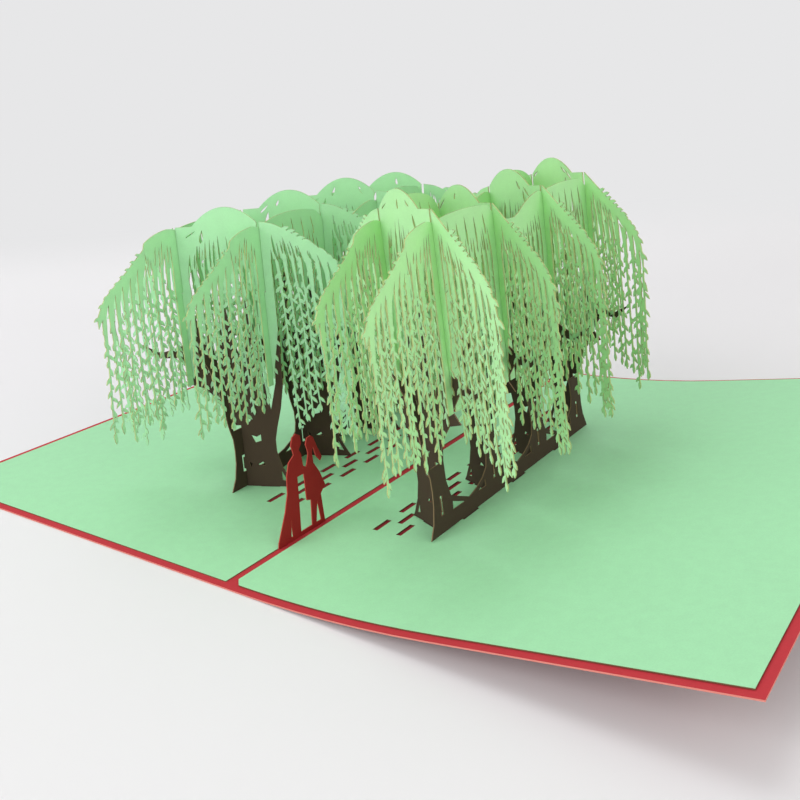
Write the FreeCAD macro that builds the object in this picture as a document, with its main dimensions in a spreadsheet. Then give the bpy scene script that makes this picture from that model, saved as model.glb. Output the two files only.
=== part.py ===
import FreeCAD, Part
import Sketcher
import math
import os

os.makedirs("parts", exist_ok=True)
doc = FreeCAD.newDocument("pop_up_card")

# Sizes of the open card, in millimetres and degrees
SIZES = (
    ("card_length", 203.2),        # along the spine
    ("panel_width", 135.6),        # spine to outer edge
    ("cover_thick", 0.4),
    ("liner_thick", 0.3),
    ("liner_margin", 2.3),         # cover shown round the liners
    ("spine_gap", 2.5),            # cover shown between the liners
    ("curl_start", 4.5),           # the right panel leaves the table here
    ("curl_radius", 360.0),
    ("curl_angle", 9.4),
    ("curl_gap", 0.15),            # right liner above its curved panel
    ("near_corner_cut", 2.2),      # right liner corner at the spine
    ("dash_long", 7.2),
    ("dash_wide", 1.7),
    ("dash_pitch", 13.0),
    ("dash_edge", 44.2),           # first dashes from the near edge
    ("dash_column", 20.5),         # middle column from the spine
    ("dash_column_step", 4.1),
    ("left_row_offset", 39.3),     # trunk strips from the spine
    ("right_row_offset", 36.3),
    ("tree_edge", 50.2),           # first trees from the near edge
    ("tree_step", 29.0),
    ("cross_angle", 65.0),         # cross pieces to the spine
    ("paper_thick", 0.35),
    ("paper_clear", 0.12),
    ("foot_gap", 0.32),            # right trees above their curved liner
    ("slot_half_step", 13.0),      # canopy slots from the tree axis
    ("slot_meet", 66.0),           # height where the slots of two sheets meet
    ("slot_play", 0.15),
    ("shoulder", 86.2),            # crown height beside the slots
    ("dome_rise", 5.0),            # dome above its shoulders
    ("left_lift_1", -2.4),         # how far each crossing crown sits from its drawn height
    ("left_lift_2", -1.1),
    ("left_lift_3", -0.7),
    ("left_lift_4", -2.0),
    ("right_lift_1", 2.8),
    ("right_lift_2", 0.3),
    ("right_lift_3", 1.4),
    ("right_lift_4", 1.9),
    ("left_long_lift", -1.5),
    ("right_long_lift", 1.5),
    ("outer_long_dome", 1.3),      # domes of the long canopies above their crossings
    ("left_inner_long_dome", 2.6),
    ("right_inner_long_dome", 5.1),
    ("left_crown_tilt", 0.04),     # left crowns rise towards the spine
    ("tab_first", 5.0),
    ("tab_long", 6.0),
    ("strip_tab_first", 10.0),
    ("strip_tab_long", 8.0),
    ("left_tab_deep", 0.3),
    ("right_tab_deep", 0.5),
    ("couple_edge", 22.7),         # couple from the near edge
    ("couple_side", 1.0),          # couple from the fold, towards the left liner
    ("couple_tall", 30.0),
)
SIDES = {-1: "left", 1: "right"}
TREES = 4
DASHES = 9

sheet = doc.addObject("Spreadsheet::Sheet", "sizes")
for row, (name, value) in enumerate(SIZES, start=1):
    sheet.set("A%d" % row, name)
    sheet.set("B%d" % row, str(value))
    sheet.setAlias("B%d" % row, name)
doc.recompute()


def size(name):
    return float(sheet.get(name))


def value_of(text):
    return float(sheet.evalExpression(text))


V = FreeCAD.Vector


# Sketch helpers: every corner is held by two named sizes
def held_polygon(sketch, corners, arcs=None):
    """Corners are pairs of expressions; arcs maps an edge to its radius and centre."""
    arcs = arcs or {}
    points = [V(value_of(x), value_of(y), 0) for x, y in corners]
    first = sketch.GeometryCount
    count = len(points)
    for i in range(count):
        a = points[i]
        b = points[(i + 1) % count]
        if i in arcs:
            radius, centre_x, centre_y = arcs[i]
            centre = V(value_of(centre_x), value_of(centre_y), 0)
            circle = Part.Circle(centre, V(0, 0, 1), value_of(radius))
            start = circle.parameter(a)
            end = circle.parameter(b)
            swapped = (end - start) % (2 * math.pi) > math.pi
            if swapped:
                start, end = end, start
            sketch.addGeometry(Part.ArcOfCircle(circle, start, end), False)
        else:
            sketch.addGeometry(Part.LineSegment(a, b), False)
    ends = []
    for i in range(count):
        a = points[i]
        geometry = sketch.Geometry[first + i]
        near_start = (geometry.StartPoint - a).Length < 1e-6
        ends.append((1, 2) if near_start else (2, 1))
    for i in range(count):
        nxt = (i + 1) % count
        sketch.addConstraint(Sketcher.Constraint(
            "Coincident", first + i, ends[i][1], first + nxt, ends[nxt][0]))
    for i, (x, y) in enumerate(corners):
        for kind, text, number in (("DistanceX", x, points[i].x), ("DistanceY", y, points[i].y)):
            index = sketch.addConstraint(Sketcher.Constraint(
                kind, -1, 1, first + i, ends[i][0], number))
            sketch.setExpression("Constraints[%d]" % index, text)
    for i, (radius, centre_x, centre_y) in arcs.items():
        index = sketch.addConstraint(Sketcher.Constraint(
            "Radius", first + i, value_of(radius)))
        sketch.setExpression("Constraints[%d]" % index, radius)


def new_body(label):
    body = doc.addObject("PartDesign::Body", label)
    body.Label = label
    return body


def new_sketch(body, plane, name):
    sketch = body.newObject("Sketcher::SketchObject", name)
    origin_plane = [f for f in body.Origin.OriginFeatures if f.Role == plane][0]
    sketch.AttachmentSupport = [(origin_plane, "")]
    sketch.MapMode = "FlatFace"
    return sketch


def rectangle(x0, x1, y0, y1):
    return [(x0, y0), (x1, y0), (x1, y1), (x0, y1)]


def cut_through(body, name, polygons, count, step):
    """Cuts upright openings through a sheet and repeats them along the spine."""
    sketch = new_sketch(body, "XY_Plane", name + "_outline")
    for polygon in polygons:
        held_polygon(sketch, polygon)
    doc.recompute()
    pocket = body.newObject("PartDesign::Pocket", name)
    pocket.Profile = sketch
    pocket.Type = "ThroughAll"
    pocket.Reversed = True
    doc.recompute()
    if count == 1:
        body.Tip = pocket
        doc.recompute()
        return
    pattern = body.newObject("PartDesign::LinearPattern", name + "_row")
    pattern.Originals = [pocket]
    axis = [f for f in body.Origin.OriginFeatures if f.Role == "Y_Axis"][0]
    pattern.Direction = (axis, [""])
    pattern.Length = value_of("%s * %d" % (step, count - 1))
    pattern.setExpression("Length", "%s * %d" % (step, count - 1))
    pattern.Occurrences = count
    body.Tip = pattern
    doc.recompute()


# The folded cover: flat on the left, rising in a soft curve on the right
def panel_profile(low, high, start, reach):
    """Section of a sheet that lies between two heights over the card's underside."""
    turn = "sizes.curl_angle"
    flat = "sizes.curl_start"
    outer = "(sizes.curl_radius - (%s))" % low
    inner = "(sizes.curl_radius - (%s))" % high
    run = "((%s) - sizes.curl_start - sizes.curl_radius * sizes.curl_angle * pi / 180)" % reach
    corners = [
        (start, low),
        (flat, low),
        ("%s + %s * sin(%s)" % (flat, outer, turn),
         "sizes.curl_radius - %s * cos(%s)" % (outer, turn)),
        ("%s + %s * sin(%s) + %s * cos(%s)" % (flat, outer, turn, run, turn),
         "sizes.curl_radius - %s * cos(%s) + %s * sin(%s)" % (outer, turn, run, turn)),
        ("%s + %s * sin(%s) + %s * cos(%s)" % (flat, inner, turn, run, turn),
         "sizes.curl_radius - %s * cos(%s) + %s * sin(%s)" % (inner, turn, run, turn)),
        ("%s + %s * sin(%s)" % (flat, inner, turn),
         "sizes.curl_radius - %s * cos(%s)" % (inner, turn)),
        (flat, high),
        (start, high),
    ]
    arcs = {
        1: (outer, flat, "sizes.curl_radius"),
        5: (inner, flat, "sizes.curl_radius"),
    }
    return corners, arcs


def padded_profile(body, corners, arcs, length):
    sketch = new_sketch(body, "XZ_Plane", body.Label + "_profile")
    held_polygon(sketch, corners, arcs)
    doc.recompute()
    pad = body.newObject("PartDesign::Pad", body.Label + "_pad")
    pad.Profile = sketch
    pad.Midplane = True
    pad.setExpression("Length", length)
    body.Tip = pad
    doc.recompute()


cover = new_body("cover")
corners, arcs = panel_profile("0", "sizes.cover_thick", "-sizes.panel_width", "sizes.panel_width")
padded_profile(cover, corners, arcs, "sizes.card_length")

# The two green liners, cut through with rows of dashes and the slots for the trunk tabs
LINER_LENGTH = "sizes.card_length - 2 * sizes.liner_margin"
LINER_REACH = "sizes.panel_width - sizes.liner_margin"
FIRST_TREE = "(sizes.tree_edge - sizes.card_length / 2)"


def dash_columns(side):
    polygons = []
    for column, shift in ((-1, 0.0), (0, 0.5), (1, 0.0)):
        middle = "%d * (sizes.dash_column + %d * sizes.dash_column_step)" % (side, column)
        first = "sizes.dash_edge - sizes.card_length / 2 + %g * sizes.dash_pitch" % shift
        polygons.append(rectangle(
            "%s - sizes.dash_wide / 2" % middle, "%s + sizes.dash_wide / 2" % middle,
            first, "%s + sizes.dash_long" % first))
    return polygons


def cross_tab_slot(side):
    """Slot in a liner for the tab of the first cross trunk, a little larger than the tab."""
    half = "(sizes.paper_thick / 2 + 2 * sizes.paper_clear)"
    corners = []
    for along, across in ((-1, -1), (1, -1), (1, 1), (-1, 1)):
        if along < 0:
            reach = "(sizes.tab_first - 2 * sizes.paper_clear)"
        else:
            reach = "(sizes.tab_first + sizes.tab_long + 2 * sizes.paper_clear)"
        turn_x = "- %s * sin(sizes.cross_angle) + %d * %s * cos(sizes.cross_angle)" % (
            reach, across, half)
        turn_y = "+ %s * cos(sizes.cross_angle) + %d * %s * sin(sizes.cross_angle)" % (
            reach, across, half)
        x = "%d * (sizes.%s_row_offset %s)" % (side, SIDES[side], turn_x)
        y = "%s %s" % (FIRST_TREE, turn_y)
        corners.append((x, y))
    return corners


def strip_tab_slot(side):
    half = "(sizes.paper_thick / 2 + 2 * sizes.paper_clear)"
    start = FIRST_TREE + " + sizes.strip_tab_first"
    row = "%d * sizes.%s_row_offset" % (side, SIDES[side])
    return rectangle(
        "%s - %s" % (row, half), "%s + %s" % (row, half),
        "%s - 2 * sizes.paper_clear" % start,
        "%s + sizes.strip_tab_long + 2 * sizes.paper_clear" % start)


left_liner = new_body("left_liner")
padded_profile(left_liner, rectangle(
    "-(%s)" % LINER_REACH, "-sizes.spine_gap / 2",
    "sizes.cover_thick", "sizes.cover_thick + sizes.liner_thick"), None, LINER_LENGTH)

right_liner = new_body("right_liner")
corners, arcs = panel_profile(
    "sizes.cover_thick + sizes.curl_gap",
    "sizes.cover_thick + sizes.curl_gap + sizes.liner_thick",
    "sizes.spine_gap / 2", LINER_REACH)
padded_profile(right_liner, corners, arcs, LINER_LENGTH)

NEAR = "(sizes.liner_margin - sizes.card_length / 2)"
INNER = "(sizes.spine_gap / 2)"
cut_through(right_liner, "near_corner", [[
    (INNER + " - 1", NEAR + " - 1"),
    (INNER + " + sizes.near_corner_cut + 1", NEAR + " - 1"),
    (INNER + " - 1", NEAR + " + sizes.near_corner_cut + 1")]], 1, "")

for side, body in ((-1, left_liner), (1, right_liner)):
    cut_through(body, body.Label + "_dashes", dash_columns(side), DASHES, "sizes.dash_pitch")
    cut_through(body, body.Label + "_trunk_slots", [cross_tab_slot(side)], TREES, "sizes.tree_step")
    cut_through(body, body.Label + "_strip_slots", [strip_tab_slot(side)], TREES - 1,
                "sizes.tree_step")

# Where the trees stand: each row has a foot point, an outward axis and an upward axis
thick = size("paper_thick")
clear = size("paper_clear")
cross = math.radians(size("cross_angle"))
AWAY = V(0, 1, 0)


def row_frame(side):
    rise = size("cover_thick") + size("liner_thick")
    if side < 0:
        return V(-size("left_row_offset"), 0, rise), V(-1, 0, 0), V(0, 0, 1)
    rise = rise + size("curl_gap")
    radius = size("curl_radius")
    turn = (size("right_row_offset") - size("curl_start")) / radius
    foot = V(size("curl_start") + (radius - rise) * math.sin(turn), 0,
             radius - (radius - rise) * math.cos(turn))
    outward = V(math.cos(turn), 0, math.sin(turn))
    upward = V(-math.sin(turn), 0, math.cos(turn))
    return foot + upward * size("foot_gap"), outward, upward


def sheet_placement(origin, along, upward):
    normal = along.cross(upward)
    return FreeCAD.Placement(origin, FreeCAD.Rotation(along, upward, normal, "XYZ"))


def cut_sheet(outline, holes, low, label, placement):
    """A flat sheet with its outline and openings, standing in a given plane."""
    def wire(points):
        corners = [V(x, y, low) for x, y in points]
        return Part.makePolygon(corners + [corners[0]])
    wires = [wire(outline)] + [wire(hole) for hole in holes]
    face = Part.makeFace(wires, "Part::FaceMakerBullseye")
    solid = face.extrude(V(0, 0, thick))
    piece = doc.addObject("Part::Feature", label)
    piece.Label = label
    piece.Shape = solid
    piece.Placement = placement
    return piece


# Typed outline points are in proportion to these: heights to the shoulder, widths to the steps
tall = size("shoulder") / 86.2
wide = size("slot_half_step") / 13.0
long_wide = size("tree_step") / 29.0


def scaled(points, across, up):
    return [(x * across, y * up) for x, y in points]


def edge_height(edge, x):
    """Height of a crown's top edge, between its listed points."""
    for (a, height_a), (b, height_b) in zip(edge, edge[1:]):
        if a <= x <= b:
            return height_a + (height_b - height_a) * (x - a) / (b - a)
    return edge[0][1] if x < edge[0][0] else edge[-1][1]


def strand(middle, hem, tip, width, sway):
    """One hanging branch, listed from its right side round to its left side."""
    swell = tip + (hem - tip) * 0.45
    return [
        (middle + 0.35 * width, hem),
        (middle + sway * 0.5 + 0.5 * width, swell),
        (middle + sway, tip),
        (middle + sway * 0.5 - 0.5 * width, swell),
        (middle - 0.35 * width, hem),
    ]


def teardrop(x, y, tall_mm, wide_mm, lean):
    return [(x, y), (x + lean * 0.5 + wide_mm / 2, y - tall_mm * 0.6), (x + lean, y - tall_mm),
            (x + lean * 0.5 - wide_mm / 2, y - tall_mm * 0.6)]


# One cross canopy: a dome between two top slots, drooping lobes, hanging branches
def cross_canopy_outline(tilt):
    slot = size("slot_half_step")
    shift = -thick / math.tan(cross)
    half = (thick / math.sin(cross) + thick / math.tan(cross)) / 2 + clear
    meet = size("slot_meet") - size("slot_play")
    shoulder = size("shoulder")
    band = 2.8 * wide
    band_end = 54.0 * tall
    left = shift - slot - half
    right = shift + slot + half
    outer_drop = [(23.5, 25.0), (22.5, 20.5), (20.0, 16.2), (16.0, 12.6), (12.0, 9.4), (8.0, 6.4),
                  (4.0, 3.2), (0.0, 0.0)]
    inner_drop = [(0.0, 0.0), (4.0, 0.9), (8.0, 3.0), (12.0, 5.6), (16.0, 7.9), (20.0, 10.7),
                  (23.0, 14.5), (24.0, 19.0)]
    outer = [(left - s * wide, shoulder - drop * tall) for s, drop in outer_drop]
    inner = [(right + s * wide, shoulder - drop * tall) for s, drop in inner_drop]
    dome_first = -7.5 * wide
    dome_last = right - 2 * half
    middle = (dome_first + dome_last) / 2
    dome = []
    for i in range(9):
        x = dome_first + (dome_last - dome_first) * i / 8
        bow = 1 - ((x - middle) / (middle - dome_first)) ** 2
        dome.append((x, shoulder + size("dome_rise") * bow))

    def tilted(points):
        return [(x, y + tilt * x) for x, y in points]

    outline = tilted(outer) + [(left, meet), (left + 2 * half, meet)]
    outline += tilted([(left + 2 * half, shoulder)] + dome) + [(dome_last, meet), (right, meet)]
    outline += tilted(inner)
    top = tilted(outer + inner)
    for side in (1, 0, -1):
        if side:
            pitch = 4.05 * wide
            middles = [side * (slot + band + half + pitch * (i + 0.5)) for i in range(5)]
            middles.sort(reverse=True)
        else:
            middles = [x * wide for x in (7.5, 2.6, -2.4, -7.4)]
        for i, s in enumerate(middles):
            if side:
                deep = 10.0 - 0.26 * (abs(s) - slot) / wide
                hem = edge_height(top, s) - deep * tall
                tip = (21.0 + 0.4 * (36 - abs(s) / wide) + (2.6 if i % 2 else 0.0)) * tall
            else:
                hem = 66.0 * tall
                tip = (33.0 if i % 2 else 29.0) * tall
            outline += strand(s, hem, tip, 2.7 * wide, 0.7 * wide * (1 if i % 2 else -1))
        if side == 1:
            outline += [(slot + band, 70.0 * tall), (slot + band, band_end),
                        (slot - band, band_end), (slot - band, 68.0 * tall)]
        if side == 0:
            outline += [(-slot + band, 68.0 * tall), (-slot + band, band_end),
                        (-slot - band, band_end), (-slot - band, 70.0 * tall)]
    holes = [teardrop(-4.6, 86.5, 5.0, 1.4, -1.0), teardrop(-6.0, 80.0, 10.0, 1.5, -0.6),
             teardrop(-1.2, 82.0, 11.0, 1.2, 0.2), teardrop(4.8, 81.5, 10.0, 1.0, 0.8),
             teardrop(17.6, 82.8, 4.8, 1.0, 1.0), teardrop(-17.4, 79.4, 4.6, 1.0, -1.2)]
    return outline, [scaled(hole, wide, tall) for hole in holes]


# One long canopy: crosses all four trees of a row, slotted from below at each
def long_canopy_outline(lifts, dome_rise):
    step = size("tree_step")
    shift = -thick / 2 / math.sin(cross)
    half = (2 * thick / math.sin(cross) + thick / math.tan(cross)) / 2 + clear
    band = 3.0 * long_wide
    band_end = 36.0 * tall
    last = 3 * step
    near = [(-32.0, 64.5), (-29.0, 69.0), (-25.0, 72.0), (-20.0, 75.2), (-16.0, 78.2),
            (-13.0, 80.4), (-12.2, 82.2), (-8.0, 84.0), (-3.2, 84.8)]
    rounding = [(0.0, 0.0), (3.0, 0.43), (7.0, 0.8), (12.0, 1.0), (17.0, 1.0), (22.0, 0.82),
                (26.0, 0.43)]
    dome = [(x, 84.2 + dome_rise / tall * part) for x, part in rounding]
    dome += [(28.4, 82.6), (30.5, 80.6)]
    valley = [(40.0, 79.6), (45.5, 82.0), (50.0, 83.8), (54.8, 84.8)]
    far = [(95.0, 77.8), (102.0, 74.0), (107.0, 70.0), (109.5, 65.0)]
    top = near + dome + valley + [(58.0 + x, y) for x, y in dome] + far
    top = scaled(top, long_wide, tall)
    outline = list(top)
    spans = [(last + band, 109.0 * long_wide, 4)]
    spans += [(k * step + band, (k + 1) * step - band, 5) for k in (2, 1, 0)]
    spans += [(-31.5 * long_wide, -band, 7)]
    for k, (first, end, count) in enumerate(spans):
        pitch = (end - first) / count
        for i in range(count):
            u = end - pitch * (i + 0.5)
            hem = edge_height(top, u) - 10.0 * tall
            if k == 4:
                hem = edge_height(top, u) - (10.0 + 0.16 * u / long_wide) * tall
            if 0 < k < 4:
                hem = 71.0 * tall
            tip = (27.0 + (3.5 if i % 2 else 0.0)) * tall
            outline += strand(u, hem, tip, 2.9 * long_wide, 0.8 * long_wide * (1 if i % 2 else -1))
        if k < 4:
            middle = (3 - k) * step
            meet = size("slot_meet") + size("slot_play") + lifts[3 - k]
            outline += [(middle + band, 70.0 * tall), (middle + band, band_end),
                        (middle + shift + half, band_end), (middle + shift + half, meet),
                        (middle + shift - half, meet), (middle + shift - half, band_end),
                        (middle - band, band_end), (middle - band, 70.0 * tall)]
    holes = [teardrop(-12.6, 79.8, 6.5, 0.8, 0.4)]
    for start in (0.0, 58.0):
        holes += [teardrop(start + 6.5, 83.4, 8.5, 1.0, 0.5),
                  teardrop(start + 13.0, 83.8, 9.0, 1.0, 0.8),
                  teardrop(start + 20.0, 83.2, 8.5, 1.0, 0.8)]
    return outline, [scaled(hole, long_wide, tall) for hole in holes]


# One cross trunk: stands from the strip towards the spine and forks above it
def cross_trunk_outline(tab_deep):
    start = (thick / 2 + clear + thick / 2 * math.cos(cross)) / math.sin(cross)
    tab = size("tab_first")
    tab_end = tab + size("tab_long")
    edge = [
        (16.5, 0),
        (15.4, 1.6), (12.8, 6.5), (11.3, 12.0), (11.3, 16.0), (12.2, 20.0), (14.0, 26.5),
        (15.4, 34.0), (15.6, 46.0), (15.2, 56.0), (14.2, 46.0), (13.2, 35.0), (10.8, 26.0),
        (9.6, 34.0), (8.4, 48.0), (6.4, 64.0), (5.2, 50.0), (3.6, 39.0),
        (1.4, 48.0), (-1.4, 65.0), (-2.9, 50.0), (-4.4, 39.0),
        (-8.6, 50.0), (-11.8, 61.5), (-13.4, 48.0), (-18.0, 46.0), (-23.0, 44.6), (-29.5, 47.5),
        (-23.5, 42.9), (-16.5, 43.0), (-12.0, 37.6), (-15.4, 34.6), (-9.6, 33.0),
        (-6.4, 29.5), (-4.0, 25.4), (-2.8, 20.8),
    ]
    outline = [(start, 0), (tab, 0), (tab, -tab_deep), (tab_end, -tab_deep), (tab_end, 0)]
    outline += scaled(edge, wide, tall)
    outline += [(start, 20.8 * tall), (start, 9.9 * tall), (-0.15 * wide, 9.9 * tall),
                (-0.15 * wide, 6.0 * tall), (start, 6.0 * tall)]
    holes = [
        [(3.4, 17.6), (4.6, 15.0), (6.6, 15.6), (6.6, 17.8), (5.2, 17.0)],
        [(2.4, 23.4), (3.2, 21.8), (3.9, 22.8)],
        [(1.6, 8.6), (2.2, 6.4), (2.8, 7.8)],
        [(4.6, 7.4), (7.2, 7.2), (6.4, 8.6)],
        [(12.2, 2.2), (14.0, 1.8), (12.2, 5.6)],
    ]
    return outline, [scaled(hole, wide, tall) for hole in holes]


# One trunk strip: a low bar with four forked trunks and arches between them
def trunk_strip_outline(tab_deep):
    step = size("tree_step")
    last = 3 * step
    window = 19.8
    outline = [(-6.6 * long_wide, 0)]
    for k in range(TREES - 1):
        tab = k * step + size("strip_tab_first")
        tab_end = tab + size("strip_tab_long")
        outline += [(tab, 0), (tab, -tab_deep), (tab_end, -tab_deep), (tab_end, 0)]
    outline += [(last + 7.0 * long_wide, 0)]
    far_side = [(1.6, window), (1.8, 27.0), (4.6, 40.0), (8.4, 53.0), (8.0, 45.0), (12.0, 48.5),
                (8.6, 41.0), (5.0, 30.0), (3.4, 20.0), (3.6, 14.0)]
    near_side = [(-3.4, 13.0), (-3.6, 17.0), (-5.0, 22.0), (-6.6, 32.0), (-10.0, 42.0),
                 (-14.5, 50.0), (-9.4, 45.6), (-8.6, 54.0), (-6.0, 42.0), (-4.0, 32.0),
                 (-3.2, window)]

    def from_tree(k, points):
        return [(k * step + q * long_wide, r * tall) for q, r in points]

    for k in range(TREES - 1, -1, -1):
        if k == TREES - 1:
            outline += from_tree(k, [(4.6, 5.0), (3.8, 9.0)])
        else:
            outline += from_tree(k, [(14.5, 4.8), (9.4, 7.0), (5.2, 9.0)])
        outline += from_tree(k, reversed(far_side))
        outline += from_tree(k, reversed(near_side))
        if k:
            outline += from_tree(k, [(-4.0, 10.0), (-6.6, 7.6), (-10.0, 6.0)])
        else:
            outline += from_tree(k, [(-3.6, 9.0), (-4.6, 4.0)])
    holes = []
    for k in range(TREES):
        holes.append(from_tree(k, [(-0.8, 5.0), (0.8, 5.0), (0.8, 10.8), (-0.8, 10.8)]))
        if k < TREES - 1:
            holes.append(from_tree(k, [(5.4, 4.5), (12.0, 4.4), (5.6, 7.0)]))
        if k:
            holes.append(from_tree(k, [(-5.2, 4.5), (-5.4, 6.8), (-9.8, 4.5)]))
    return outline, holes


for side, name in SIDES.items():
    foot, outward, upward = row_frame(side)
    tab_deep = size(name + "_tab_deep")
    first = foot + AWAY * (size("tree_edge") - size("card_length") / 2)
    outline, holes = trunk_strip_outline(tab_deep)
    cut_sheet(outline, holes, -thick / 2, "%s_trunk_strip" % name,
              sheet_placement(first, AWAY, upward))
    inward = outward * -math.sin(cross) + AWAY * math.cos(cross)
    canopy_low = thick / 2 if side < 0 else -1.5 * thick
    tilt = size("left_crown_tilt") if side < 0 else 0.0
    lifts = [size("%s_lift_%d" % (name, k + 1)) for k in range(TREES)]
    long_lift = size(name + "_long_lift")
    for k in range(TREES):
        origin = first + AWAY * (k * size("tree_step"))
        outline, holes = cross_trunk_outline(tab_deep)
        cut_sheet(outline, holes, -thick / 2, "%s_cross_trunk_%d" % (name, k + 1),
                  sheet_placement(origin, inward, upward))
        outline, holes = cross_canopy_outline(tilt)
        cut_sheet(outline, holes, canopy_low, "%s_cross_canopy_%d" % (name, k + 1),
                  sheet_placement(origin + upward * lifts[k], inward, upward))
    for line, label in ((-1, "outer"), (1, "inner")):
        s = line * size("slot_half_step")
        dome = "outer_long_dome" if label == "outer" else name + "_inner_long_dome"
        outline, holes = long_canopy_outline([lift - long_lift for lift in lifts], size(dome))
        cut_sheet(outline, holes, -thick / 2, "%s_%s_long_canopy" % (name, label),
                  sheet_placement(first + outward * (-s * math.sin(cross))
                                  + AWAY * (s * math.cos(cross)) + upward * long_lift,
                                  AWAY, upward))


# The couple: one red sheet that stands in the gap over the spine
def couple_outline():
    man = [(0.0, 0.0), (0.2, 1.0), (4.0, 9.0), (5.6, 14.0), (6.0, 19.0), (7.2, 22.6), (9.6, 24.2)]
    man_head = [(9.4, 25.2), (8.8, 27.0), (9.6, 29.4), (11.2, 30.0), (12.8, 29.0), (13.0, 26.6),
                (11.8, 25.0)]
    arm = [(12.6, 23.4), (13.0, 19.8), (14.2, 18.9)]
    woman_arm = [(14.6, 19.6), (15.6, 22.6)]
    woman_head = [(15.4, 23.6), (14.8, 25.4), (15.6, 27.2), (17.2, 27.4), (18.2, 26.6),
                  (19.6, 23.0), (21.2, 19.6), (20.4, 18.6), (18.8, 20.6), (17.8, 24.0)]
    dress = [(17.2, 22.4), (17.4, 19.0), (19.6, 15.6), (21.6, 10.8), (20.2, 9.4), (19.4, 8.6)]
    legs = [(19.8, 4.0), (20.2, 0.0), (20.2, -0.6), (0.0, -0.6)]
    return man + man_head + arm + woman_arm + woman_head + dress + legs


couple_holes = [
    [(9.6, 0.6), (14.6, 0.6), (15.0, 8.4), (13.2, 9.0), (13.0, 17.4), (10.2, 17.4), (10.0, 10.0)],
    [(16.4, 0.6), (18.6, 0.6), (17.6, 7.4)],
    [(5.4, 0.6), (6.2, 0.6), (6.0, 6.0)],
]
couple_scale = size("couple_tall") / 30.0
couple_place = V(-size("couple_side"), size("couple_edge") - size("card_length") / 2,
                 size("cover_thick") + 0.6 * couple_scale)
cut_sheet(scaled(couple_outline(), couple_scale, couple_scale),
          [scaled(hole, couple_scale, couple_scale) for hole in couple_holes],
          -thick / 2, "couple", sheet_placement(couple_place, AWAY, V(0, 0, 1)))

# Check every object, then write one file for each piece
doc.recompute()
pieces = []
for item in doc.Objects:
    state = [s for s in item.State if s in ("Invalid", "Error")]
    if state:
        raise RuntimeError("%s is %s" % (item.Name, state))
    if item.TypeId == "PartDesign::Body" or item.TypeId == "Part::Feature":
        if item.Shape.isNull() or not item.Shape.isValid() or not item.Shape.Solids:
            raise RuntimeError("%s has no valid solid" % item.Label)
        pieces.append(item)
for piece in pieces:
    piece.Shape.exportStep("parts/%s.step" % piece.Label)
print("pieces written:", len(pieces))
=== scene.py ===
import itertools
import math
import random

import bpy
from mathutils import Matrix, Vector
from mathutils.geometry import delaunay_2d_cdt


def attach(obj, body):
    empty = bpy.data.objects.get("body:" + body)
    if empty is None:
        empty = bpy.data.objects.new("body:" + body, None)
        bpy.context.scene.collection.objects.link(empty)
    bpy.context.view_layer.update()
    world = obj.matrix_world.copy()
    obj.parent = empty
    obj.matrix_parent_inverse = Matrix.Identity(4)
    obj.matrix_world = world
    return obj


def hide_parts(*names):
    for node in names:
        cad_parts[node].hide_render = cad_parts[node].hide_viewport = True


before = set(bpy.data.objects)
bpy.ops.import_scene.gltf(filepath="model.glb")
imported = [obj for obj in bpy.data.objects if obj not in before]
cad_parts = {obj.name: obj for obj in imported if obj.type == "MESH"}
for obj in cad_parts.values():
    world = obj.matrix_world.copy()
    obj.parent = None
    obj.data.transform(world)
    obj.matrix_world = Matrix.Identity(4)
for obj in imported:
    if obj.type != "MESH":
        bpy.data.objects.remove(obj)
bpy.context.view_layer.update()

MM = 0.001

# Sizes of the card, in millimetres, as the frame has them. Where the rows differ, -1 is the left
# row and 1 is the right one.
SIDES = ((-1, "left"), (1, "right"))
ROW_OFFSET = {-1: 39.3, 1: 36.3}  # from the spine to the middle of the row
FIRST_TREE = -51.4
TREE_STEP = 29.0
TREES = 4
CROSS = math.radians(65.0)  # from the spine's direction to the sheets across a row
THICK = 0.35
CLEAR = 0.12
FOOT_GAP = 0.32
COVER_THICK = 0.4
LINER_THICK = 0.3
CURL_START = 4.5
CURL_RADIUS = 360.0
CURL_GAP = 0.15
SLOT_STEP = 13.0  # from the middle of a tree to each of its two slots
SLOT_MEET = 66.0  # height where a pair of slots meets
SLOT_PLAY = 0.15
LIFTS = {-1: (-2.4, -1.1, -0.7, -2.0), 1: (2.8, 0.3, 1.4, 1.9)}  # each tree, from near to far
LONG_LIFT = {-1: -1.5, 1: 1.5}
LONG_RISE = {"outer": 1.3, -1: 2.6, 1: 5.1}
AWAY = Vector((0, 1, 0))

# Crown of a cross canopy
SHOULDER = 86.2
DOME_RISE = 5.0
DOME_FIRST = -7.5
DOME_STEPS = 20
CROWN_TILT = {-1: 0.04, 1: 0.0}
OUTER_DROP = ((23.5, 25.0), (22.5, 20.5), (20.0, 16.2), (16.0, 12.6), (12.0, 9.4), (8.0, 6.4),
              (4.0, 3.2), (0.0, 0.0))
INNER_DROP = ((0.0, 0.0), (4.0, 0.9), (8.0, 3.0), (12.0, 5.6), (16.0, 7.9), (20.0, 10.7),
              (23.0, 14.5), (24.0, 19.0))

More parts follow.
